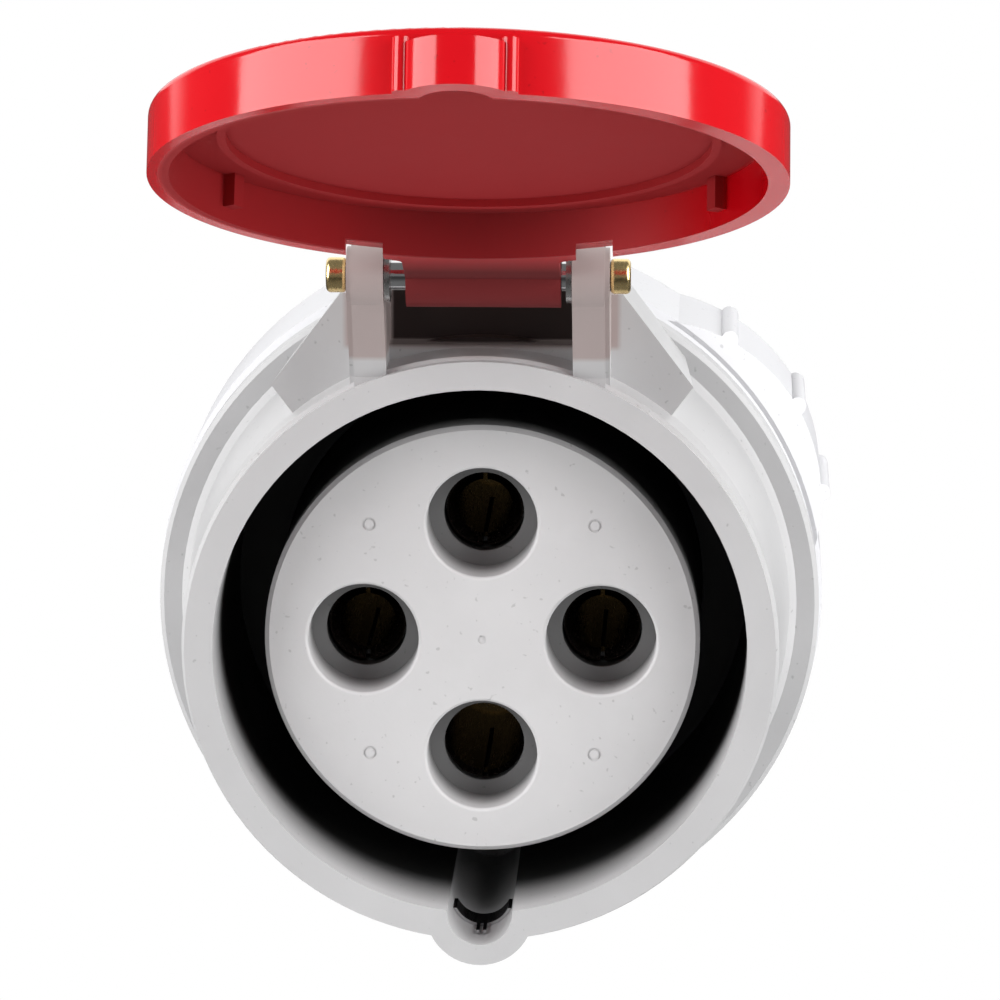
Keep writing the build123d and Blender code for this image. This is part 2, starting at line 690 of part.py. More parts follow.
with BuildPart() as lid:
    with BuildSketch(lid_plane.offset(lid_edge)):
        with Locations((0, lid_centre)):
            Circle(lip_radius)
    extrude(amount=lid_height)
    top_edge = (
        lid.part.edges()
        .filter_by(GeomType.CIRCLE)
        .sort_by(Axis(origin=lid_plane.origin, direction=lid_plane.z_dir))[-1]
    )
    fillet(top_edge, radius=lid_edge_round)
    # Bump over the keyway, with a rounded finger grip down each side.
    with BuildSketch(lid_plane.offset(lid_edge)):
        with Locations((0, lid_key_centre)):
            Circle(key_bump_radius)
    extrude(amount=lid_key_height)
    grip_y = lid_key_centre + math.sqrt(key_bump_radius ** 2 - grip_x ** 2)
    with BuildSketch(lid_plane.offset(lid_edge)):
        with Locations((-grip_x, grip_y), (grip_x, grip_y)):
            Circle(grip_radius)
    extrude(amount=grip_height)
    # Hollow inside, which takes in the bump as well.
    with BuildSketch(lid_plane.offset(lid_edge)):
        with Locations((0, lid_centre)):
            Circle(lid_inner_radius)
    extrude(amount=lid_height - lid_plate, mode=Mode.SUBTRACT)
    with BuildSketch(lid_plane.offset(lid_edge)):
        with Locations((0, lid_key_centre)):
            Circle(key_slot_radius)
    extrude(amount=lid_key_height - lid_plate, mode=Mode.SUBTRACT)
    # Low ring on the inner face and two ribs on the skirt.
    with BuildSketch(lid_plane.offset(lid_top - lid_plate)):
        with Locations((0, lid_centre)):
            Circle(lid_ridge_radius)
            Circle(lid_ridge_radius - lid_ridge_width, mode=Mode.SUBTRACT)
    extrude(amount=-lid_ridge_height)
    with BuildSketch(lid_plane.offset(lid_top - lid_plate)):
        for rib_angle in (-lid_rib_angle, 180.0 + lid_rib_angle):
            rib_x, rib_y = on_circle(lid_inner_radius - 0.6, rib_angle)
            with Locations((rib_x, lid_centre + rib_y)):
                Rectangle(1.6, 1.6, rotation=rib_angle)
    extrude(amount=-(lid_height - lid_plate - 1.5))
    # Notches in front of the lugs.
    with BuildSketch(lid_plane.offset(lid_edge)):
        for side in (-1, 1):
            with Locations((side * (lug_inner_x + lug_thickness / 2), notch_reach / 2)):
                Rectangle(lug_thickness - 2 * notch_inset, notch_reach)
    extrude(amount=notch_depth, mode=Mode.SUBTRACT)
    # Neck, with rounded corners where it meets the skirt, and the hinge barrel.
    skirt_y = lid_centre - math.sqrt(lip_radius ** 2 - neck_half_width ** 2)
    with BuildSketch(lid_plane.offset(lid_edge)):
        with Locations((0, neck_start / 2)):
            Rectangle(2 * neck_half_width, neck_start)
        for side in (-1, 1):
            with Locations((side * (neck_half_width + neck_corner_round / 2), skirt_y)):
                Rectangle(neck_corner_round, 2 * neck_corner_round)
            with Locations((side * (neck_half_width + neck_corner_round), skirt_y - neck_corner_round)):
                Circle(neck_corner_round, mode=Mode.SUBTRACT)
    extrude(amount=barrel_radius - lid_edge)
    with BuildSketch(hinge_plane(lid_play_x - neck_half_width)):
        Circle(barrel_radius)
    extrude(amount=2 * neck_half_width)
    # The middle of the barrel is open on the side away from the neck, for the spring.
    with BuildSketch(hinge_plane(-window_half_length)):
        Circle(spring_mean_radius + spring_wire_radius + spring_room)
    extrude(amount=2 * window_half_length, mode=Mode.SUBTRACT)
    for way, window_edge in ((1, spring_wire_radius + spring_room), (-1, -window_lip)):
        with BuildSketch(lid_plane):
            with Locations((lid_play_x, window_edge - barrel_radius)):
                Rectangle(2 * window_half_length, 2 * barrel_radius)
        extrude(amount=way * 2 * barrel_radius, mode=Mode.SUBTRACT)
    # Blind hole in the neck for the spring's moving leg.
    with BuildSketch(Plane(origin=coil @ 1, z_dir=coil % 1)):
        Circle(spring_wire_radius + spring_room)
    extrude(amount=spring_tail + spring_room, mode=Mode.SUBTRACT)
    with BuildSketch(hinge_plane(lid_play_x - neck_half_width)):
        Circle(pin_hole_radius)
    extrude(amount=2 * neck_half_width, mode=Mode.SUBTRACT)
save("lid", lid.part)

# =============================================================== pin and spring
pin_length = 2 * (lug_outer_x + cap_gap)
with BuildPart() as hinge_pin:
    with BuildSketch(hinge_plane(-pin_length / 2)):
        Circle(pin_radius)
    extrude(amount=pin_length)
    tail_length = pin_length + 2 * cap_length - 0.4
    with BuildSketch(hinge_plane(-tail_length / 2)):
        Circle(cap_bore_radius)
    extrude(amount=tail_length)
save("hinge_pin", hinge_pin.part)

for cap_name, side in (("pin_cap_left", -1), ("pin_cap_right", 1)):
    with BuildPart() as pin_cap:
        with BuildSketch(Plane(
            origin=(side * pin_length / 2, hinge_y, hinge_z), x_dir=(0, side, 0), z_dir=(side, 0, 0)
        )):
            Circle(cap_radius)
            Circle(cap_bore_radius, mode=Mode.SUBTRACT)
        extrude(amount=cap_length)
        rim_edges = (
            pin_cap.part.edges()
            .filter_by(GeomType.CIRCLE)
            .filter_by(lambda edge: abs(edge.radius - cap_radius) < 1e-3)
        )
        fillet(rim_edges, radius=0.5)
    save(cap_name, pin_cap.part)

washer_x = lug_inner_x - washer_thickness - 0.05
with BuildPart() as hinge_washers:
    for start_x in (-lug_inner_x + 0.05, washer_x):
        with BuildSketch(hinge_plane(start_x)):
            Circle(washer_radius)
            Circle(pin_hole_radius, mode=Mode.SUBTRACT)
        extrude(amount=washer_thickness)
save("hinge_washers", hinge_washers.part)

leg_start = coil @ 0
saddle_fall = math.tan(math.radians(saddle_draft))
leg_drop = (
    leg_start.Z - spring_wire_radius * math.cos(leg_slope) - spring_rest_gap
    - saddle_top_z + (leg_start.Y - saddle_y) * saddle_fall
)
spring_leg = leg_drop / (math.sin(leg_slope) - math.cos(leg_slope) * saddle_fall)
with BuildPart() as lid_spring:
    with BuildLine() as coil_path:
        add(coil)
    with BuildSketch(Plane(origin=coil @ 0, z_dir=coil % 0)):
        Circle(spring_wire_radius)
    sweep(path=coil_path.line)
    # Two straight legs: the fixed one bears on the saddle, the other sits in the neck.
    for end, way, length in ((coil @ 0, -(coil % 0), spring_leg), (coil @ 1, coil % 1, spring_tail)):
        with BuildSketch(Plane(origin=end, z_dir=way)):
            Circle(spring_wire_radius)
        extrude(amount=length)
save("lid_spring", lid_spring.part)

# ================================================================ locking ring
def ear_reach(angle_from_ear):
    """Distance from the axis to an ear's outline, at an angle from the ear's middle."""
    turn = math.radians(angle_from_ear)
    across = ring_ear_offset * math.sin(turn)
    return ring_ear_offset * math.cos(turn) + math.sqrt(ring_ear_radius ** 2 - across ** 2)


ring_bore = spigot_radius + ring_clearance
ring_groove_radius = spigot_radius + bayonet_lug_height + bayonet_clearance
ring_lip_radius = rear_radius + ring_clearance
ring_back_y = rear_flange_back_y + 0.2 + ring_lip_thickness
ear_top_radius = ring_ear_offset + ring_ear_radius + ring_ear_rib_radius
ear_front_y = ring_front_y + ring_ear_inset
ear_back_y = ring_back_y - ring_ear_inset
with BuildPart() as locking_ring:
    # A raised ear with three ribs, cut from a ring with rounded shoulders.
    revolved_about_y([
        (ring_groove_radius + 0.5, ear_front_y),
        (ring_radius, ear_front_y),
        (ear_top_radius, ear_front_y + ring_ear_shoulder),
        (ear_top_radius, ear_back_y - ring_ear_shoulder),
        (ring_radius - ring_edge_round, ear_back_y),
        (ring_groove_radius + 0.5, ear_back_y),
    ])
    with BuildSketch(axial_plane(ring_front_y)):
        Circle(ring_groove_radius + 0.6)
        with PolarLocations(0, ring_ear_count, start_angle=ring_ear_angle):
            with Locations((ring_ear_offset, 0)):
                Circle(ring_ear_radius)
            for rib_angle in ring_ear_rib_angles:
                with Locations(on_circle(ear_reach(rib_angle), rib_angle)):
                    Circle(ring_ear_rib_radius)
    extrude(amount=-(ring_back_y - ring_front_y), mode=Mode.INTERSECT)
    revolved_about_y([
        (ring_bore, ring_front_y),
        (ring_radius - 1.4, ring_front_y),
        (ring_radius, ring_front_y + 1.4),
        (ring_radius, ring_back_y - ring_edge_round),
        (ring_radius - ring_edge_round, ring_back_y),
        (ring_lip_radius, ring_back_y),
        (ring_lip_radius, rear_flange_back_y + 0.2),
        (rear_flange_radius + ring_clearance, rear_flange_back_y + 0.2),
        (rear_flange_radius + ring_clearance, spigot_end_y),
        (ring_bore, spigot_end_y),
    ])
    # The ring's inside stays clear of the ear's root.
    revolved_about_y([
        (0, ring_front_y),
        (ring_bore, ring_front_y),
        (ring_bore, spigot_end_y),
        (rear_flange_radius + ring_clearance, spigot_end_y),
        (rear_flange_radius + ring_clearance, rear_flange_back_y + 0.2),
        (0, rear_flange_back_y + 0.2),
    ], mode=Mode.SUBTRACT)
    # Ways in for the bayonet lugs, from the front.
    with BuildSketch(axial_plane(ring_front_y)):
        with PolarLocations(0, bayonet_count, start_angle=90 + bayonet_angle):
            with Locations((ring_bore, 0)):
                Rectangle(2 * (ring_groove_radius - ring_bore), bayonet_lug_width + bayonet_side_room)
    extrude(amount=-(bayonet_lug_y - ring_front_y), mode=Mode.SUBTRACT)
    # Groove that the lugs run in.
    with BuildSketch(axial_plane(bayonet_lug_y - bayonet_clearance)):
        Circle(ring_groove_radius)
    extrude(amount=-(bayonet_lug_length + 2 * bayonet_clearance), mode=Mode.SUBTRACT)
save("locking_ring", locking_ring.part)

# ================================================================ housing seal
with BuildPart() as housing_seal:
    with BuildSketch(Plane.XY):
        with Locations((seal_ring_circle, spigot_end_y + seal_ring_section)):
            Circle(seal_ring_section)
    revolve(axis=Axis.Y)
save("housing_seal", housing_seal.part)

# ================================================================ rear housing
rear_inner_radius = rear_radius - rear_wall
neck_inner_radius = neck_radius - rear_wall
collet_bore = collet_radius + gland_fit
collet_floor_y = gland_y + 1.0


def taper_radius(y):
    """Outside radius of the handle's taper at y."""
    share = (y - taper_y) / (neck_y - taper_y)
    return rear_radius + share * (neck_radius - rear_radius)


with BuildPart() as rear_housing:
    # Grip ribs: a fatter taper, cut into strips.
    rib_start_y = taper_y + grip_rib_inset
    rib_end_y = neck_y - grip_rib_inset
    revolved_about_y([
        (0, rib_start_y),
        (taper_radius(rib_start_y) - grip_rib_sink, rib_start_y),
        (taper_radius(rib_start_y + grip_rib_ramp) + grip_rib_height, rib_start_y + grip_rib_ramp),
        (taper_radius(rib_end_y - grip_rib_ramp) + grip_rib_height, rib_end_y - grip_rib_ramp),
        (taper_radius(rib_end_y) - grip_rib_sink, rib_end_y),
        (0, rib_end_y),
    ])
    with BuildSketch(axial_plane(rib_start_y)):
        with PolarLocations(0, grip_rib_count):
            with Locations((rear_radius / 2 + 4, 0)):
                Rectangle(rear_radius + 8, grip_rib_width)
    extrude(amount=-(rib_end_y - rib_start_y), mode=Mode.INTERSECT)
    revolved_about_y([
        (0, rear_front_y),
        (rear_flange_radius, rear_front_y),
        (rear_flange_radius, rear_flange_back_y),
        (rear_radius, rear_flange_back_y),
        (rear_radius, taper_y),
        (neck_radius, neck_y),
        (neck_radius, gland_y - 1.0),
        (neck_radius - 1.0, gland_y),
        (gland_thread_radius, gland_y),
        (gland_thread_radius, gland_end_y - 0.6),
        (gland_thread_radius - 0.6, gland_end_y),
        (0, gland_end_y),
    ])
    # Inside: wiring space, then the bore of the gland.
    with BuildSketch(Plane.XY):
        with BuildLine():
            Polyline(
                (0, rear_front_y),
                (rear_inner_radius, rear_front_y),
                (rear_inner_radius, taper_y - 1.0),
                (neck_inner_radius, neck_y - 1.0),
                (neck_inner_radius, gland_y - 3.0),
                (collet_radius - collet_wall, gland_y),
                (collet_radius - collet_wall, collet_floor_y),
                (collet_bore, collet_floor_y),
                (collet_bore, gland_end_y),
                (0, gland_end_y),
                close=True,
            )
        make_face()
    revolve(axis=Axis.Y, mode=Mode.SUBTRACT)
    # Groove for the sealing ring, in the front face.
    with BuildSketch(axial_plane(rear_front_y)):
        Circle(seal_ring_circle + seal_ring_section + seal_groove_clearance)
        Circle(seal_ring_circle - seal_ring_section - seal_groove_clearance, mode=Mode.SUBTRACT)
    extrude(amount=-(2 * seal_ring_section), mode=Mode.SUBTRACT)
save("rear_housing", rear_housing.part)

# ======================================================================= gland
finger_end_y = gland_end_y + collet_overhang
with BuildPart() as gland_collet:
    revolved_about_y([
        (collet_radius - collet_wall, collet_floor_y),
        (collet_radius, collet_floor_y),
        (collet_radius, finger_end_y - 1.0),
        (collet_radius - 0.8, finger_end_y),
        (collet_radius - collet_wall, finger_end_y),
    ])
    with BuildSketch(axial_plane(collet_floor_y + collet_ring_length)):
        with PolarLocations(collet_radius, finger_count):
            Rectangle(4 * collet_wall, finger_slot)
    extrude(amount=-(finger_end_y - collet_floor_y), mode=Mode.SUBTRACT)
save("gland_collet", gland_collet.part)

seal_outer = collet_radius - collet_wall - 0.1
with BuildPart() as gland_seal:
    revolved_about_y([
        (cable_radius + 0.8, collet_floor_y),
        (seal_outer, collet_floor_y),
        (seal_outer, finger_end_y - 0.6),
        (cable_radius + 0.8, finger_end_y - 0.6),
        (cable_radius, finger_end_y - 3.0),
        (cable_radius, collet_floor_y + 3.0),
    ])
save("gland_seal", gland_seal.part)

seat_y = finger_end_y + 0.2
with BuildPart() as gland_washer:
    revolved_about_y([
        (cable_radius + 0.8, seat_y),
        (collet_radius, seat_y),
        (collet_radius, seat_y + washer_seat_length),
        (cable_radius + 0.8, seat_y + washer_seat_length),
    ])
save("gland_washer", gland_washer.part)

nut_front_y = gland_y + nut_front_gap
nut_shoulder_y = seat_y + washer_seat_length + 0.1
nut_back_y = nut_shoulder_y + nut_lip_length
nut_bore = gland_thread_radius + gland_fit
nut_radius = nut_bore + nut_wall
cone_y = finger_end_y - nut_cone_length
with BuildPart() as gland_nut:
    revolved_about_y([
        (nut_bore, nut_front_y),
        (nut_radius, nut_front_y),
        (nut_radius, nut_back_y - 4.0),
        (nut_radius - 4.0, nut_back_y),
        (cable_radius + 2.0, nut_back_y),
        (cable_radius + 1.4, nut_back_y - 0.8),
        (cable_radius + 1.4, nut_shoulder_y),
        (collet_radius + gland_fit, nut_shoulder_y),
        (collet_radius + gland_fit, finger_end_y),
        (collet_radius + 0.7, cone_y),
        (nut_bore, cone_y),
    ])
    with BuildSketch(axial_plane(nut_front_y + 1.5)):
        with PolarLocations(nut_radius - 0.5, nut_rib_count):
            Circle(nut_rib_radius)
        Circle(nut_bore + 1.0, mode=Mode.SUBTRACT)
    extrude(amount=-(nut_back_y - nut_front_y - 6.5))
save("gland_nut", gland_nut.part)
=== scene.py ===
import math

import bpy
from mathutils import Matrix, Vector


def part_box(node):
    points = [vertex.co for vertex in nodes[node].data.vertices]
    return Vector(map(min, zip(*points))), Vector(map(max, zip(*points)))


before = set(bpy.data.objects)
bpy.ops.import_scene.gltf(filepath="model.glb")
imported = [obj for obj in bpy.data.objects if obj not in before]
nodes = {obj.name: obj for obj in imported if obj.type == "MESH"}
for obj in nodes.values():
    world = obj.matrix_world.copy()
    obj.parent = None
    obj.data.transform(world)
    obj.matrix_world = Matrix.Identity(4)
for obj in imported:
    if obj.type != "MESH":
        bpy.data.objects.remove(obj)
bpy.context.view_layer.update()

MM = 0.001


def scaled(color, factor):
    """A colour made lighter or darker."""
    return tuple(channel * factor for channel in color)


# ------------------------------------------------------------------ places
# The origin is the centre of the socket's mouth, +Y runs back along the connector.
insert_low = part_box("contact_insert")[0]
hinge_y = sum(corner.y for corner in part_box("hinge_pin")) / 2
hinge_z = sum(corner.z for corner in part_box("hinge_pin")) / 2

# The open lid points forward, 23.8 degrees above level. LID_UP is the way its outside faces,
# LID_OUT the way from its hinge to its free end.
LID_TILT = math.radians(23.8)
LID_UP = (0.0, math.sin(LID_TILT), math.cos(LID_TILT))
LID_OUT = (0.0, -math.cos(LID_TILT), math.sin(LID_TILT))

# Where painted shade and painted bounce light begin and end on the mouldings and contacts.
EDGE_BLEND = 0.3 * MM
BORE_EDGE = 29.5 * MM
GROOVE_LIGHT_Y = 1.5 * MM
GROOVE_DARK_Y = 13.0 * MM
INSERT_EDGE = 23.9 * MM
FACE_Y = insert_low.y
SIDE_DARK_Y = FACE_Y + 5.0 * MM
MOUTH_LIGHT_Y = FACE_Y + 1.5 * MM
MOUTH_FLOOR_Y = FACE_Y + 6.4 * MM
THROAT_LIGHT_Y = MOUTH_FLOOR_Y + 0.05 * MM
THROAT_DARK_Y = MOUTH_FLOOR_Y + 0.6 * MM
LUG_FOOT_Z = 32.6 * MM
LUG_SIDE_X = 15.0 * MM
POCKET_FLOOR_Z = 32.9 * MM
POCKET_SIDE_X = 10.0 * MM
POCKET_START_Y = 1.5 * MM
POCKET_END_Y = 13.0 * MM
LID_HOLLOW_RADIUS = 30.4 * MM
LID_HOLLOW_TOP = 4.3 * MM
NECK_START = 6.0 * MM
NECK_END = 16.0 * MM
# Painted shade on the contacts' fronts fades out between these depths.
FRONT_SHADE_START_Y = 42.0 * MM
FRONT_SHADE_END_Y = 46.0 * MM

# How strong each shade is.
DEEP_SHADE = 0.97
SIDE_SHADE = 0.96
MOUTH_SHADE = 0.62
THROAT_SHADE = 0.96
NECK_SHADE = 0.85
HOLLOW_ROUGHNESS = 0.75

# ----------------------------------------------------------------- colours
GREY = (0.475, 0.473, 0.478)
# Painted light: the insert's grey is painted lighter than the collar's.
LIT_INSERT_GREY = (0.57, 0.565, 0.57)
PALE = (0.62, 0.62, 0.64)
RED = (0.56, 0.0010, 0.006)
# Painted shade: the darker red painted into the lid's hollow.
SHADED_HOLLOW_RED = scaled(RED, 0.58)
# Painted shade: the near-black red painted on the lid's neck.
SHADED_NECK_RED = scaled(RED, 0.12)
NYLON = (0.75, 0.74, 0.68)
# Painted light: a pinkish tint on the lugs for red light bounced from the lid.
LUG_BOUNCE_LIGHT = (0.36, 0.30, 0.29)
# Painted shade: the dark brown painted into the pocket behind the hinge.
POCKET_SHADE_BROWN = (0.014, 0.006, 0.005)
# Painted shade: the near-black that the deep groove and the insert's side, mouths and throats are darkened
# towards.
DEPTH_SHADE_BLACK = (0.012, 0.012, 0.011)
RUBBER_BLACK = (0.012, 0.012, 0.013)
RUBBER_BLOOM = (0.035, 0.035, 0.036)
BRASS = (0.78, 0.53, 0.20)
# Painted shade: the near-black brown painted over the contacts' fronts.
CONTACT_SHADE_BROWN = (0.035, 0.026, 0.021)
CAP_BRASS = (0.95, 0.72, 0.34)
PIN_STEEL = (0.74, 0.74, 0.75)
SPRING_STEEL = (0.62, 0.62, 0.63)
ZINC = (0.66, 0.66, 0.65)
FLOOR_WHITE = (0.8, 0.8, 0.8)
FLOOR_GLOSS = (0.10, 0.10, 0.10)

# ------------------------------------------------- grain of the materials
# Noise scales are in cells per metre, and a stretch multiplies one along each axis.
# A band is the part of a noise's values over which a change of colour or gloss comes in.
MIDDLE_BAND = (0.3, 0.7)
CLOUD_SCALE = 60.0
CLOUD_DARK = 0.93
FLOW_SCALE = 1.0
FLOW_STRETCH = (220.0, 25.0, 220.0)
FLOW_BAND = (0.55, 0.75)
FLOW_STRENGTH = 0.10
FLOW_PALE = 1.15
SPECK_SCALE = 1400.0
SPECK_BAND = (0.72, 0.78)
SPECK_STRENGTH = 0.35
SPECK_DARK = 0.3
GRAIN_SCALE = 1100.0
GRAIN_HEIGHT = 0.2 * MM
PLASTIC_IOR = 1.5
BLOTCH_SCALE = 350.0
BLOTCH_DARK = 0.82
LINE_SCALE = 4.0
LINES_ALONG_Y = (900.0, 40.0, 900.0)
LINES_ALONG_X = (40.0, 900.0, 900.0)
SCRATCH_HEIGHT = 0.1 * MM
BLOOM_SCALE = 240.0
BLOOM_BAND = (0.4, 0.8)
RUBBER_GRAIN_SCALE = 1500.0
RUBBER_GRAIN = 0.15
RUBBER_ROUGHNESS = (0.6, 0.8)
FLOOR_ROUGHNESS = 0.9

# ------------------------------------------------------- camera and studio
CAMERA_DISTANCE = 650.0 * MM
CAMERA_AZIMUTH = math.radians(2.38)
CAMERA_ELEVATION = math.radians(12.96)
CAMERA_AIM = Vector((2.25 * MM, 0.0, 17.12 * MM))
CAMERA_LENS = 214.57
CAMERA_SENSOR = 36.0
CAMERA_NEAR = 10.0 * MM
ROOM_LIGHT = 0.18
BACKDROP_LIGHT = 1.3
BACKDROP_START = 0.50
BACKDROP_END = 0.68
FLOOR_SIZE = 200.0
FLOOR_Z = -0.45
SOFTBOX_AZIMUTH = math.radians(66.0)
SOFTBOX_ELEVATION = math.radians(22.0)
SOFTBOX_DISTANCE = 0.7
SOFTBOX_WIDTH = 0.54
SOFTBOX_HEIGHT = 0.8
SOFTBOX_POWER = 8.2


def direction(azimuth, elevation):
    """The way from the origin to a point in front of the connector, seen at two angles."""
    return Vector((
        math.sin(azimuth) * math.cos(elevation),
        -math.cos(azimuth) * math.cos(elevation),
        math.sin(elevation),
    ))


# ------------------------------------------------------------------ camera
def add_camera():
    """Long lens, a little to the right of the axis and above it."""
    data = bpy.data.cameras.new("camera")
    camera = bpy.data.objects.new("camera", data)
    bpy.context.scene.collection.objects.link(camera)
    camera.location = CAMERA_DISTANCE * direction(CAMERA_AZIMUTH, CAMERA_ELEVATION)
    camera.rotation_euler = (CAMERA_AIM - camera.location).to_track_quat("-Z", "Y").to_euler()
    data.sensor_width = CAMERA_SENSOR
    data.lens = CAMERA_LENS
    data.clip_start = CAMERA_NEAR
    bpy.context.scene.camera = camera


# --------------------------------------------------------------- materials
class Graph:
    """A small helper that adds shader nodes and links them."""

    def __init__(self, name):
        self.material = bpy.data.materials.new(name)
        self.material.use_nodes = True
        self.tree = self.material.node_tree
        self.shader = self.tree.nodes["Principled BSDF"]

    def add(self, kind, **settings):
        node = self.tree.nodes.new(kind)
        for key, value in settings.items():
            setattr(node, key, value)
        return node

    def link(self, start, end):
        self.tree.links.new(start, end)

    def set(self, **values):
        """Set sockets of the shader, by their names."""
        for key, value in values.items():
            self.shader.inputs[key].default_value = value

    def position(self):
        return self.add("ShaderNodeTexCoord").outputs["Object"]

    def split_position(self):
        split = self.add("ShaderNodeSeparateXYZ")
        self.link(self.position(), split.inputs["Vector"])
        return split.outputs

    def stretched(self, scale):
        """Object coordinates, scaled differently along each axis."""
        mapping = self.add("ShaderNodeMapping")
        mapping.inputs["Scale"].default_value = scale
        self.link(self.position(), mapping.inputs["Vector"])
        return mapping.outputs["Vector"]

    def noise(self, scale, detail, roughness=0.55, vector=None):
        node = self.add("ShaderNodeTexNoise")
        node.inputs["Scale"].default_value = scale
        node.inputs["Detail"].default_value = detail
        node.inputs["Roughness"].default_value = roughness
        self.link(vector or self.position(), node.inputs["Vector"])
        return node.outputs["Fac"]

    def ramp(self, factor, *stops):
        node = self.add("ShaderNodeValToRGB")
        for element, (place, color) in zip(node.color_ramp.elements, stops):
            element.position = place
            element.color = (*color, 1.0)
        self.link(factor, node.inputs["Fac"])
        return node.outputs["Color"]

    def remap(self, value, from_low, from_high, to_low, to_high):
        node = self.add("ShaderNodeMapRange")
        node.inputs["From Min"].default_value = from_low
        node.inputs["From Max"].default_value = from_high
        node.inputs["To Min"].default_value = to_low
        node.inputs["To Max"].default_value = to_high
        self.link(value, node.inputs["Value"])
        return node.outputs["Result"]

    def math(self, operation, first, second=None):
        node = self.add("ShaderNodeMath", operation=operation)
        for slot, value in zip(node.inputs, (first, second)):
            if isinstance(value, (int, float)):
                slot.default_value = value
            elif value is not None:
                self.link(value, slot)
        return node.outputs["Value"]

    def mix(self, factor, first, second):
        """Blend two colours, each given as numbers or as another node's output."""
        # Inputs 6 and 7 and output 2 are this node's colour sockets.
        node = self.add("ShaderNodeMix", data_type="RGBA")
        self.link(factor, node.inputs[0])
        for slot, value in zip((node.inputs[6], node.inputs[7]), (first, second)):
            if isinstance(value, tuple):
                slot.default_value = (*value, 1.0)
            else:
                self.link(value, slot)
        return node.outputs[2]

    def bump(self, height, strength, distance):
        node = self.add("ShaderNodeBump")
        node.inputs["Strength"].default_value = strength
        node.inputs["Distance"].default_value = distance
        self.link(height, node.inputs["Height"])
        self.link(node.outputs["Normal"], self.shader.inputs["Normal"])

    def length(self, first, second):
        """The length of a vector, from two components at right angles."""
        squares = self.math("ADD", self.math("POWER", first, 2.0), self.math("POWER", second, 2.0))
        return self.math("SQRT", squares)

    def radius_and_depth(self):
        """Distance from the connector's axis, and the place along it."""
        split = self.split_position()
        return self.length(split["X"], split["Z"]), split["Y"]

    def along(self, way, start):
        """Distance of each point from a start point, along a way."""
        offset = self.add("ShaderNodeVectorMath", operation="SUBTRACT")
        self.link(self.position(), offset.inputs[0])
        offset.inputs[1].default_value = start
        dot = self.add("ShaderNodeVectorMath", operation="DOT_PRODUCT")
        self.link(offset.outputs["Vector"], dot.inputs[0])
        dot.inputs[1].default_value = way
        return dot.outputs["Value"]

    def below(self, value, edge):
        """One where a value is under an edge, nought where it is over it."""
        return self.remap(value, edge - EDGE_BLEND, edge + EDGE_BLEND, 1.0, 0.0)

    def above(self, value, edge):
        return self.remap(value, edge - EDGE_BLEND, edge + EDGE_BLEND, 0.0, 1.0)

    def product(self, *factors):
        total = factors[0]
        for factor in factors[1:]:
            total = self.math("MULTIPLY", total, factor)
        return total

    def finish(self, tint, roughness):
        self.link(tint, self.shader.inputs["Base Color"])
        self.link(roughness, self.shader.inputs["Roughness"])
        return self.material


def moulded_plastic(name, color, roughness=(0.34, 0.46), grain=0.08, shade=None):
    """Moulded polyamide: faint cloudiness, flow marks, a fine grain and a few dark specks."""
    graph = Graph(name)
    cloud = graph.noise(CLOUD_SCALE, 4.0)
    low, high = MIDDLE_BAND
    tint = graph.ramp(cloud, (low, scaled(color, CLOUD_DARK)), (high, color))
    flow = graph.noise(FLOW_SCALE, 3.0, 0.6, graph.stretched(FLOW_STRETCH))
    flow_marks = graph.remap(flow, *FLOW_BAND, 0.0, FLOW_STRENGTH)
    tint = graph.mix(flow_marks, tint, scaled(color, FLOW_PALE))
    speck = graph.noise(SPECK_SCALE, 1.0)
    specks = graph.remap(speck, *SPECK_BAND, 0.0, SPECK_STRENGTH)
    tint = graph.mix(specks, tint, scaled(color, SPECK_DARK))
    finish = graph.remap(cloud, *MIDDLE_BAND, *roughness)
    if shade:
        tint, finish = shade(graph, tint, finish)
    graph.bump(graph.noise(GRAIN_SCALE, 3.0), grain, GRAIN_HEIGHT)
    graph.set(IOR=PLASTIC_IOR)
    return graph.finish(tint, finish)


def collar_shade(graph, tint, finish):
    """Painted shade in the deep groove and in the pocket behind the hinge, and painted red bounce light on
    the lugs.
    """
    radius, depth = graph.radius_and_depth()
    # Painted shade: the groove darkens towards near-black with its depth.
    deep = graph.remap(depth, GROOVE_LIGHT_Y, GROOVE_DARK_Y, 0.0, DEEP_SHADE)
    tint = graph.mix(graph.product(graph.below(radius, BORE_EDGE), deep), tint, DEPTH_SHADE_BLACK)
    split = graph.split_position()
    side = graph.math("ABSOLUTE", split["X"])
    height = split["Z"]
    # Painted light: red light bounced from the lid, painted as a pinkish tint on the lugs.
    near_hinge = graph.product(graph.above(height, LUG_FOOT_Z), graph.below(side, LUG_SIDE_X))
    tint = graph.mix(graph.product(near_hinge, graph.below(depth, POCKET_END_Y)), tint, LUG_BOUNCE_LIGHT)
    # Painted shade: the pocket behind the hinge is painted dark brown.
    hollow = graph.product(
        graph.above(height, POCKET_FLOOR_Z),
        graph.below(side, POCKET_SIDE_X),
        graph.above(depth, POCKET_START_Y),
        graph.below(depth, POCKET_END_Y),
    )
    return graph.mix(hollow, tint, POCKET_SHADE_BROWN), finish


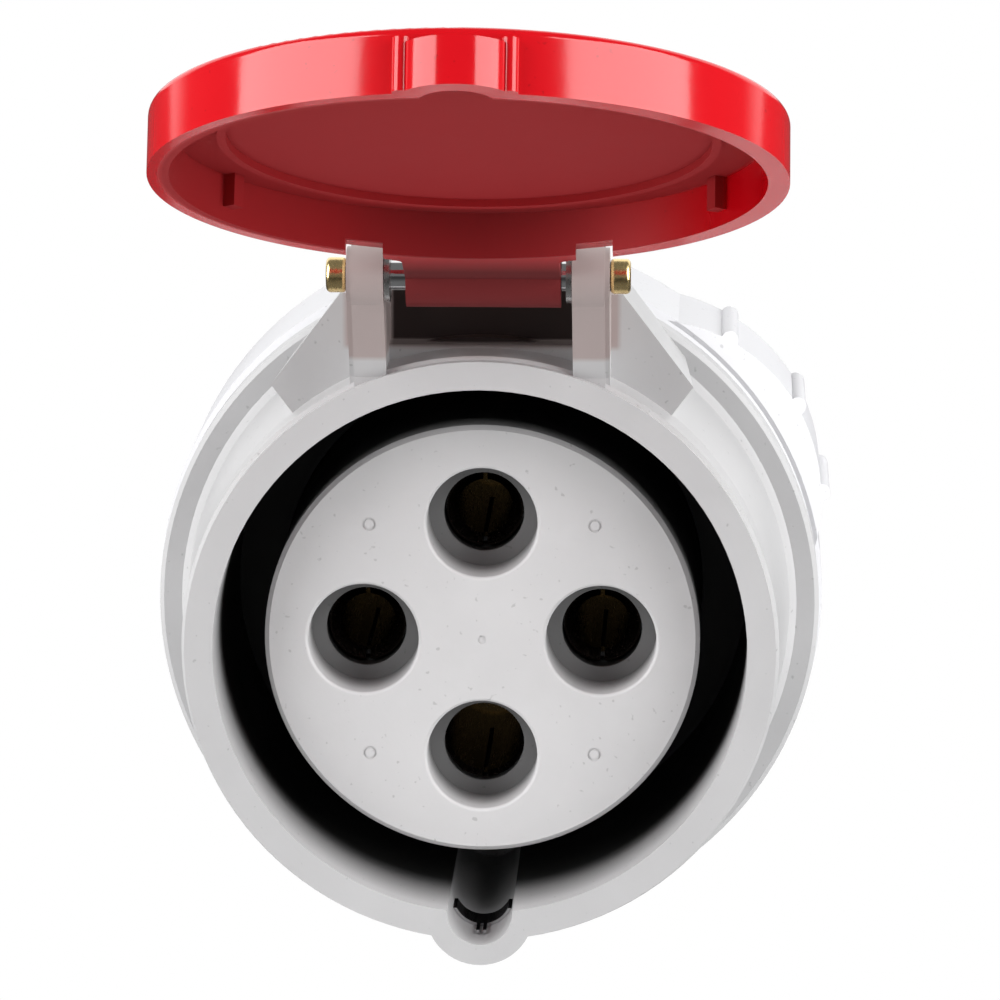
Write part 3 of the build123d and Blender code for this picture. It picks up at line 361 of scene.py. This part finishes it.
def lid_shade(graph, tint, finish):
    """Painted shade: the lid's hollow and its neck are painted a darker red than its outside; both are
    also more matt.
    """
    hinge = (0.0, hinge_y, hinge_z)
    height = graph.along(LID_UP, hinge)
    reach = graph.along(LID_OUT, hinge)
    # The lid's centre is as far from the hinge as the connector's axis is.
    radius = graph.length(graph.split_position()["X"], graph.math("SUBTRACT", reach, hinge_z))
    hollow = graph.product(graph.below(radius, LID_HOLLOW_RADIUS), graph.below(height, LID_HOLLOW_TOP))
    # Painted shade in the lid's hollow.
    tint = graph.mix(hollow, tint, SHADED_HOLLOW_RED)
    # Painted shade: the neck is painted darker towards the hinge.
    neck = graph.remap(reach, NECK_START, NECK_END, NECK_SHADE, 0.0)
    matt = graph.math("MULTIPLY", graph.math("MAXIMUM", hollow, neck), HOLLOW_ROUGHNESS)
    return graph.mix(neck, tint, SHADED_NECK_RED), graph.math("ADD", finish, matt)


def insert_shade(graph, tint, finish):
    """Painted shade: the insert's side and its mouths are painted darker with their depth, and its throats
    nearly black.
    """
    radius, depth = graph.radius_and_depth()
    outside = graph.remap(radius, INSERT_EDGE - EDGE_BLEND, INSERT_EDGE, 0.0, 1.0)
    side = graph.math("MULTIPLY", outside, graph.remap(depth, FACE_Y, SIDE_DARK_Y, 0.0, SIDE_SHADE))
    mouth = graph.remap(depth, MOUTH_LIGHT_Y, MOUTH_FLOOR_Y, 0.0, MOUTH_SHADE)
    throat = graph.remap(depth, THROAT_LIGHT_Y, THROAT_DARK_Y, 0.0, THROAT_SHADE)
    # Painted shade: the deepest of the three darkenings wins.
    dark = graph.math("MAXIMUM", graph.math("MAXIMUM", mouth, throat), side)
    return graph.mix(dark, tint, DEPTH_SHADE_BLACK), finish


def metal(name, color, roughness, lines=LINES_ALONG_Y, scratch=0.12, front_shade=None):
    """Drawn or turned metal: fine lines along one axis, faint blotches and, if given, a painted shade over
    the front.
    """
    graph = Graph(name)
    cloud = graph.noise(BLOTCH_SCALE, 4.0)
    low, high = MIDDLE_BAND
    tint = graph.ramp(cloud, (low, scaled(color, BLOTCH_DARK)), (high, color))
    if front_shade:
        # Painted shade: the front is darkened towards a near-black brown.
        depth = graph.radius_and_depth()[1]
        front_shade_mask = graph.remap(depth, FRONT_SHADE_START_Y, FRONT_SHADE_END_Y, 1.0, 0.0)
        tint = graph.mix(front_shade_mask, tint, front_shade)
    grain = graph.noise(LINE_SCALE, 2.0, 0.6, graph.stretched(lines))
    graph.bump(grain, scratch, SCRATCH_HEIGHT)
    graph.set(Metallic=1.0)
    return graph.finish(tint, graph.remap(grain, *MIDDLE_BAND, *roughness))


def rubber(name):
    """Black moulded rubber with a bloom of dust."""
    graph = Graph(name)
    bloom = graph.noise(BLOOM_SCALE, 5.0)
    low, high = BLOOM_BAND
    tint = graph.ramp(bloom, (low, RUBBER_BLACK), (high, RUBBER_BLOOM))
    graph.bump(graph.noise(RUBBER_GRAIN_SCALE, 2.0), RUBBER_GRAIN, GRAIN_HEIGHT)
    return graph.finish(tint, graph.remap(bloom, *MIDDLE_BAND, *RUBBER_ROUGHNESS))


def paint(material, *names):
    """Give every slot of some CAD nodes a material."""
    for name in names:
        for slot in nodes[name].material_slots:
            slot.material = material


def paint_plastics():
    collar = moulded_plastic("collar_plastic", GREY, shade=collar_shade)
    insert = moulded_plastic("insert_plastic", LIT_INSERT_GREY, shade=insert_shade)
    grey = moulded_plastic("grey_plastic", GREY)
    pale = moulded_plastic("pale_plastic", PALE)
    washer = moulded_plastic("washer_plastic", NYLON, roughness=(0.25, 0.35))
    red = moulded_plastic("red_plastic", RED, roughness=(0.10, 0.15), grain=0.02, shade=lid_shade)
    paint(collar, "front_housing")
    paint(insert, "contact_insert")
    paint(grey, "rear_housing", "gland_collet", "contact_carrier")
    paint(pale, "locking_ring", "gland_nut")
    paint(washer, "gland_washer")
    paint(red, "lid")


def paint_metals():
    # The contacts' fronts get a painted shade.
    bronze = metal("bronze", BRASS, (0.16, 0.30), front_shade=CONTACT_SHADE_BROWN)
    caps = metal("cap_brass", CAP_BRASS, (0.20, 0.32))
    polished = metal("polished_steel", PIN_STEEL, (0.06, 0.14), lines=LINES_ALONG_X, scratch=0.04)
    spring = metal("spring_steel", SPRING_STEEL, (0.14, 0.26))
    zinc = metal("zinc_steel", ZINC, (0.24, 0.36))
    paint(bronze, "socket_contact_l1", "socket_contact_l2", "socket_contact_l3", "socket_contact_earth")
    paint(caps, "pin_cap_left", "pin_cap_right")
    paint(polished, "hinge_pin")
    paint(spring, "lid_spring", "contact_clips", "keyway_clip")
    paint(zinc, "terminal_screws", "insert_screws", "hinge_washers")


# -------------------------------------------------- lights, world and floor
def add_softbox(name, azimuth):
    """A rectangular light that faces the socket's mouth."""
    data = bpy.data.lights.new(name, "AREA")
    data.shape = "RECTANGLE"
    data.size = SOFTBOX_WIDTH
    data.size_y = SOFTBOX_HEIGHT
    data.energy = SOFTBOX_POWER
    light = bpy.data.objects.new(name, data)
    way = direction(azimuth, SOFTBOX_ELEVATION)
    light.location = way * SOFTBOX_DISTANCE
    light.rotation_euler = (-way).to_track_quat("-Z", "Y").to_euler()
    bpy.context.scene.collection.objects.link(light)


def add_world():
    """A dim room with a bright backdrop behind the connector, and plain white for the camera."""
    world = bpy.data.worlds.new("studio")
    world.use_nodes = True
    tree = world.node_tree
    coordinates = tree.nodes.new("ShaderNodeTexCoord")
    split = tree.nodes.new("ShaderNodeSeparateXYZ")
    tree.links.new(coordinates.outputs["Generated"], split.inputs["Vector"])
    behind = tree.nodes.new("ShaderNodeMapRange")
    behind.interpolation_type = "SMOOTHSTEP"
    behind.inputs["From Min"].default_value = BACKDROP_START
    behind.inputs["From Max"].default_value = BACKDROP_END
    behind.inputs["To Min"].default_value = ROOM_LIGHT
    behind.inputs["To Max"].default_value = BACKDROP_LIGHT
    tree.links.new(split.outputs["Y"], behind.inputs["Value"])
    path = tree.nodes.new("ShaderNodeLightPath")
    seen = tree.nodes.new("ShaderNodeMix")
    seen.inputs[3].default_value = 1.0
    tree.links.new(path.outputs["Is Camera Ray"], seen.inputs[0])
    tree.links.new(behind.outputs["Result"], seen.inputs[2])
    background = tree.nodes["Background"]
    background.inputs["Color"].default_value = (1.0, 1.0, 1.0, 1.0)
    tree.links.new(seen.outputs[0], background.inputs["Strength"])
    bpy.context.scene.world = world


def add_floor():
    """A plain floor, well below the connector: evenly white to the camera, dark in reflections."""
    bpy.ops.mesh.primitive_plane_add(size=FLOOR_SIZE, location=(0.0, 0.0, FLOOR_Z))
    floor = bpy.context.object
    floor.name = "floor"
    graph = Graph("floor_white")
    graph.set(Roughness=FLOOR_ROUGHNESS)
    lit = graph.add("ShaderNodeEmission")
    seen = graph.add("ShaderNodeMixShader")
    path = graph.add("ShaderNodeLightPath")
    tint = graph.mix(path.outputs["Is Glossy Ray"], FLOOR_WHITE, FLOOR_GLOSS)
    graph.link(tint, graph.shader.inputs["Base Color"])
    graph.link(path.outputs["Is Camera Ray"], seen.inputs[0])
    graph.link(graph.shader.outputs["BSDF"], seen.inputs[1])
    graph.link(lit.outputs["Emission"], seen.inputs[2])
    graph.link(seen.outputs["Shader"], graph.tree.nodes["Material Output"].inputs["Surface"])
    floor.data.materials.append(graph.material)


add_camera()
paint_plastics()
paint_metals()
paint(rubber("black_rubber"), "housing_seal", "gland_seal")
add_world()
add_floor()
for side, name in ((-1, "left_softbox"), (1, "right_softbox")):
    add_softbox(name, side * SOFTBOX_AZIMUTH)
bpy.context.scene.view_settings.view_transform = "Standard"
